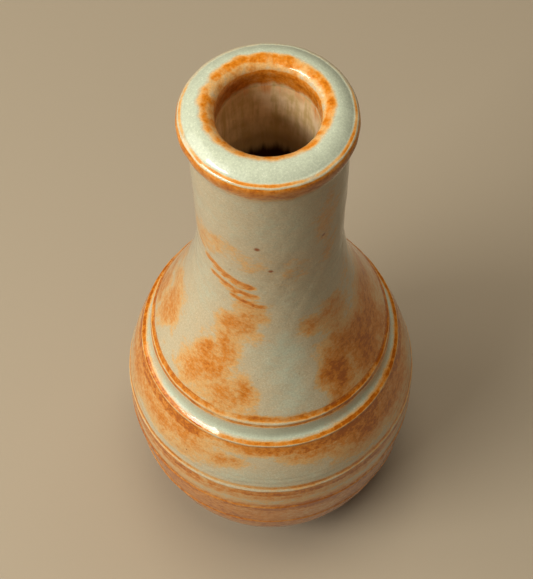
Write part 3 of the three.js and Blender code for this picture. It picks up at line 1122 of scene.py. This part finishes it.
def cavity_path(context, inset):
    """The inside of the clay: floor, rounded corner, belly, shoulder and bore, moved in by inset."""
    o, layers = context.scene.vase_outline, context.scene.vase_layers
    skin = layers.coat + layers.bond
    bore = o.throat_radius + skin
    joint = TONGUE_TOP - layers.tongue
    floor = LINER_LOW.z - layers.bond
    round_off = 6 * MM
    inner_belly = o.belly_radius - skin - layers.wall
    shoulder = cubic(
        (inner_belly, o.belly_height),
        (inner_belly, o.belly_height + SHOULDER_REACH),
        (bore, joint - NECK_REACH),
        (bore, joint),
        60,
    )
    low = np.linspace(floor + round_off, o.belly_height, 24)[:-1]
    hip = np.stack([body_radius(o, low) - skin - layers.wall, low], 1)
    angle = np.linspace(0, math.pi / 2, 14)[:-1]
    centre = hip[0] - (round_off, 0)
    corner = centre + round_off * np.stack([np.sin(angle), -np.cos(angle)], 1)
    flat = np.stack([np.linspace(0, corner[0, 0], 12)[:-1], np.full(11, floor)], 1)
    return shifted(np.concatenate([flat, corner, hip, shoulder]), inset)


class VASE_OT_inner_glaze(Operator):
    """Make the liner, from the floor up to the throat"""

    bl_idname = "vase.inner_glaze"
    bl_label = "Liner glaze"

    def execute(self, context):
        """Two copies of the cavity's outline, one on the clay and one in by the liner's thickness,
        carried round the axis; runs swell the inner face down the neck."""
        t, layers = context.scene.vase_turning, context.scene.vase_layers
        top = LINER_HIGH.z - 0.01 * MM - ARRIS
        outer = cavity_path(context, layers.bond)
        inner = cavity_path(context, layers.bond + layers.liner)
        outer[0, 0] = inner[0, 0] = 0
        climb = np.linspace(outer[-1, 1], top, 26)[1:]
        outer, inner = (
            np.concatenate([side, np.stack([np.full_like(climb, side[-1, 0]), climb], 1)])
            for side in (outer, inner)
        )
        edge = blunt(outer[-1], inner[-1], ARRIS)
        path = np.concatenate([outer, edge, inner[::-1]])
        theta = round_angles(layers.turns)
        z = path[:, 1:] + 0 * theta
        inside = (np.arange(len(path)) >= len(outer) + len(edge))[:, None]
        runs = 0.1 * MM * wander(theta, 31, (5, 9, 14, 22, 31)) * ease((z - 70 * MM) / (25 * MM))
        rings = 0.05 * MM * np.sin(2 * math.pi * z / (5.5 * MM) - theta)
        flush = 1 - ease((z - (top - 5 * MM)) / (4.5 * MM))
        radius = path[:, :1] + (runs + rings) * inside * flush * ease(path[:, :1] / (6 * MM))
        masks = {"mouth": ease((z - (top - 4.5 * MM)) / (4.5 * MM)) * np.ones_like(theta)}
        points = hand_thrown(t, theta, radius, z)
        piece = turned_mesh("liner_glaze", points, poles=(True, True), masks=masks)
        material = liner_material("liner glaze", context.scene.vase_glaze)
        finish_piece(piece, "inner_glaze", material)
        return {"FINISHED"}


class VASE_OT_clay_body(Operator):
    """Make the thrown body: foot ring, floor, belly, shoulder and the tongue for the neck"""

    bl_idname = "vase.clay_body"
    bl_label = "Clay body"

    def execute(self, context):
        """One closed outline carried round the axis: the recess and foot ring with rounded arrises,
        the clay under the coat, the tongue, and back down the cavity to the axis."""
        o, t, layers = vase_sizes(context)
        joint = TONGUE_TOP - layers.tongue
        outside = finished_outline(o, t)
        clay = clay_outline(context, outside) - (layers.bond, 0)
        clay = clay[(clay[:, 1] < joint - 0.2 * MM) & (np.arange(len(clay)) < len(outside) - 60)]
        cavity = cavity_path(context, 0)
        cavity[0, 0] = 0
        tongue_radius = (cavity[-1, 0] + clay[-1, 0] - layers.slip) / 2
        foot_outer = o.foot_radius - layers.coat - layers.bond
        ring_inner = o.foot_radius - 4.5 * MM
        recess = 2.6 * MM
        arris = 0.7 * MM
        foot = np.concatenate(
            [
                [(0, recess)],
                np.stack([np.linspace(2, 16.5, 8) * MM, np.full(8, recess)], 1),
                arc((ring_inner - arris, recess - arris), arris, 90, 0),
                arc((ring_inner + arris, arris), arris, 180, 270),
                arc((foot_outer - arris, arris), arris, -90, 0),
                [(foot_outer, 2.2 * MM), (foot_outer + 0.12 * MM, o.foot_height)],
                [(foot_outer + 0.5 * MM, o.foot_height + 0.8 * MM)],
            ]
        )
        top = TONGUE_TOP - 0.05 * MM
        tongue = [(clay[-1, 0], joint), (tongue_radius, joint), (tongue_radius, top), (cavity[-1, 0], top)]
        path = np.concatenate([foot, clay, tongue, cavity[::-1]])
        theta = round_angles(layers.turns)
        radius, z = spread(path, theta)
        low = (path[:, 1:] < 5 * MM) & (path[:, :1] > ring_inner)
        turned = 0.05 * MM * np.sin(2 * math.pi * z / (0.9 * MM) - theta) * low
        points = hand_thrown(t, theta, radius + turned, z)
        points[..., 2] = np.maximum(points[..., 2], 0)
        piece = turned_mesh("thrown_body", points, poles=(True, True))
        material = clay_material("bare stoneware", context.scene.vase_glaze)
        finish_piece(piece, "clay_body", material)
        return {"FINISHED"}


class VASE_OT_clay_neck(Operator):
    """Make the neck and rim that are luted over the body's tongue"""

    bl_idname = "vase.clay_neck"
    bl_label = "Clay neck"

    def execute(self, context):
        """A closed outline carried round the axis: socket, clay under the coat, bore."""
        o, t, layers = vase_sizes(context)
        outside = finished_outline(o, t)
        clay = shifted(outside, layers.coat + layers.bond)[:-1]
        clay = clay[clay[:, 1] > NECK_FOOT + 0.2 * MM]
        bore = o.throat_radius + layers.coat + layers.bond
        socket = (bore + clay[0, 0] - layers.slip) / 2 + layers.slip
        shelf = NECK_FOOT + layers.tongue
        foot = [(bore, shelf), (socket, shelf), (socket, NECK_FOOT), (clay[0, 0], NECK_FOOT)]
        path = np.concatenate([foot, clay, [(bore, clay[-1, 1] - 0.2 * MM)]])
        theta = round_angles(layers.turns)
        points = hand_thrown(t, theta, *spread(path, theta))
        piece = turned_mesh("luted_neck", points, looped=True)
        material = clay_material("luted stoneware", context.scene.vase_glaze)
        finish_piece(piece, "clay_neck", material)
        return {"FINISHED"}


class VASE_OT_foot_glaze(Operator):
    """Make the glaze wiped into the recess under the foot"""

    bl_idname = "vase.foot_glaze"
    bl_label = "Recess glaze"

    def execute(self, context):
        """A thin disc: its lower face swells by a soft uneven field, and its edge is half round and
        waves in and out."""
        t, layers = context.scene.vase_turning, context.scene.vase_layers
        top, low, reach = RECESS_HIGH.z, RECESS_LOW.z, RECESS_HIGH.x - 0.4 * MM
        out = np.linspace(0, reach, 40)
        under = np.stack([out, np.full(40, low)], 1)
        over = np.stack([out[::-1], np.full(40, top)], 1)
        edge = ledge(under[-1], over[0])
        path = np.concatenate([under, edge, over])
        theta = round_angles(layers.turns)
        lower = (np.arange(len(path)) < len(under))[:, None]
        z = path[:, 1:] + 0.03 * MM * (1 + ripple(theta, path[:, :1], 41)) * lower * (path[:, :1] > 0)
        near_edge = ease((path[:, :1] - 11 * MM) / (6 * MM))
        radius = path[:, :1] - near_edge * 0.35 * MM * (1 + wander(theta, 42))
        points = hand_thrown(t, theta, radius, z)
        piece = turned_mesh("recess_glaze", points, poles=(True, True))
        material = glaze_material("recess glaze", context.scene.vase_glaze, masked=False)
        finish_piece(piece, "foot_glaze", material)
        return {"FINISHED"}


# ---------------------------------------------------------------- stage


def area_light(name, place, target, size, power, tint):
    """A soft rectangular light at a place, facing a target."""
    data = bpy.data.lights.new(name, "AREA")
    data.shape = "RECTANGLE"
    data.size, data.size_y = size
    data.energy = power
    data.color = tint
    light = bpy.data.objects.new(name, data)
    light.location = place
    light.rotation_euler = (Vector(target) - Vector(place)).to_track_quat("-Z", "Y").to_euler()
    bpy.context.scene.collection.objects.link(light)
    return light


class VASE_OT_stage(Operator):
    """Make the floor, the lights and the camera"""

    bl_idname = "vase.stage"
    bl_label = "Stage"

    def execute(self, context):
        """A wide flat floor, a window and a wide soft light to the left, a light overhead that shows in
        no reflection, an even sky, and the camera."""
        studio = context.scene.vase_studio
        scene = context.scene
        half = 4.0
        mesh = bpy.data.meshes.new("floor")
        corners = [(-half, -half, 0), (half, -half, 0), (half, half, 0), (-half, half, 0)]
        mesh.from_pydata(corners, [], [(0, 1, 2, 3)])
        floor = bpy.data.objects.new("floor", mesh)
        scene.collection.objects.link(floor)
        material, _, shader = new_material("floor")
        shader.inputs["Base Color"].default_value = solid(studio.floor)
        shader.inputs["Roughness"].default_value = 0.7
        mesh.materials.append(material)
        middle = (0, 0, CAD_HIGH.z * 0.6)
        area_light(
            "window", (-0.56, -0.33, 0.63), middle, (0.5, 0.2), studio.key_power, (0.95, 0.98, 1.0)
        )
        area_light(
            "wash", (-0.65, -0.08, 0.60), middle, (0.7, 0.6), studio.wash_power, (1.0, 0.97, 0.92)
        )
        overhead = area_light(
            "overhead", (0.04, 0.08, 1.05), middle, (0.5, 0.5), studio.fill_power, (1.0, 0.98, 0.94)
        )
        overhead.visible_glossy = False
        world = bpy.data.worlds.new("sky")
        world.use_nodes = True
        sky = world.node_tree.nodes["Background"]
        sky.inputs["Color"].default_value = (1.0, 0.78, 0.55, 1)
        sky.inputs["Strength"].default_value = studio.sky
        scene.world = world
        camera = bpy.data.objects.new("camera", bpy.data.cameras.new("camera"))
        camera.data.lens = studio.camera_lens
        camera.data.clip_start = 0.01
        camera.matrix_world = camera_frame(studio)
        scene.collection.objects.link(camera)
        scene.camera = camera
        scene.view_settings.view_transform = "Standard"
        scene.view_settings.gamma = 0.88
        scene.view_settings.exposure = 0.12
        return {"FINISHED"}


def camera_frame(studio):
    """The camera's place and turn: tilt down, then yaw about its own upright, then roll."""
    pitch, yaw, roll = studio.camera_pitch, studio.camera_yaw, studio.camera_roll
    down = Vector((0, math.cos(pitch), -math.sin(pitch)))
    side = Vector((1, 0, 0))
    upright = side.cross(down)
    ahead = down * math.cos(yaw) + side * math.sin(yaw)
    side = side * math.cos(yaw) - down * math.sin(yaw)
    right = side * math.cos(roll) + upright * math.sin(roll)
    up = upright * math.cos(roll) - side * math.sin(roll)
    turn = Matrix((right, up, -ahead)).transposed().to_4x4()
    turn.translation = Vector((0, -studio.camera_back, studio.camera_height))
    return turn


# ---------------------------------------------------------------- sidebar and registration


class VASE_PT_workbench(Panel):
    """Sizes, colours and steps of the vase"""

    bl_label = "Bud vase"
    bl_idname = "VASE_PT_workbench"
    bl_space_type = "VIEW_3D"
    bl_region_type = "UI"
    bl_category = "Vase"

    def draw(self, context):
        """Lists the settings, then the steps."""
        for name in SETTINGS:
            box = self.layout.box()
            values = getattr(context.scene, name)
            for key in values.bl_rna.properties.keys():
                if key not in ("rna_type", "name"):
                    box.prop(values, key)
        for step in STEPS:
            self.layout.operator(step.bl_idname)


SETTINGS = {
    "vase_outline": VaseOutline,
    "vase_turning": VaseTurning,
    "vase_layers": VaseLayers,
    "vase_glaze": VaseGlaze,
    "vase_studio": VaseStudio,
}
STEPS = (
    VASE_OT_stage,
    VASE_OT_clay_body,
    VASE_OT_clay_neck,
    VASE_OT_inner_glaze,
    VASE_OT_outer_glaze,
    VASE_OT_foot_glaze,
)


def register():
    """Registers the settings, the steps and the panel."""
    for name, settings in SETTINGS.items():
        bpy.utils.register_class(settings)
        setattr(bpy.types.Scene, name, PointerProperty(type=settings))
    for item in (*STEPS, VASE_PT_workbench):
        bpy.utils.register_class(item)


def unregister():
    """Takes everything off again."""
    for item in (VASE_PT_workbench, *reversed(STEPS)):
        bpy.utils.unregister_class(item)
    for name, settings in reversed(SETTINGS.items()):
        delattr(bpy.types.Scene, name)
        bpy.utils.unregister_class(settings)


def main():
    """Builds the vase step by step."""
    register()
    for step in STEPS:
        area, name = step.bl_idname.split(".")
        getattr(getattr(bpy.ops, area), name)()


if __name__ == "__main__":
    main()
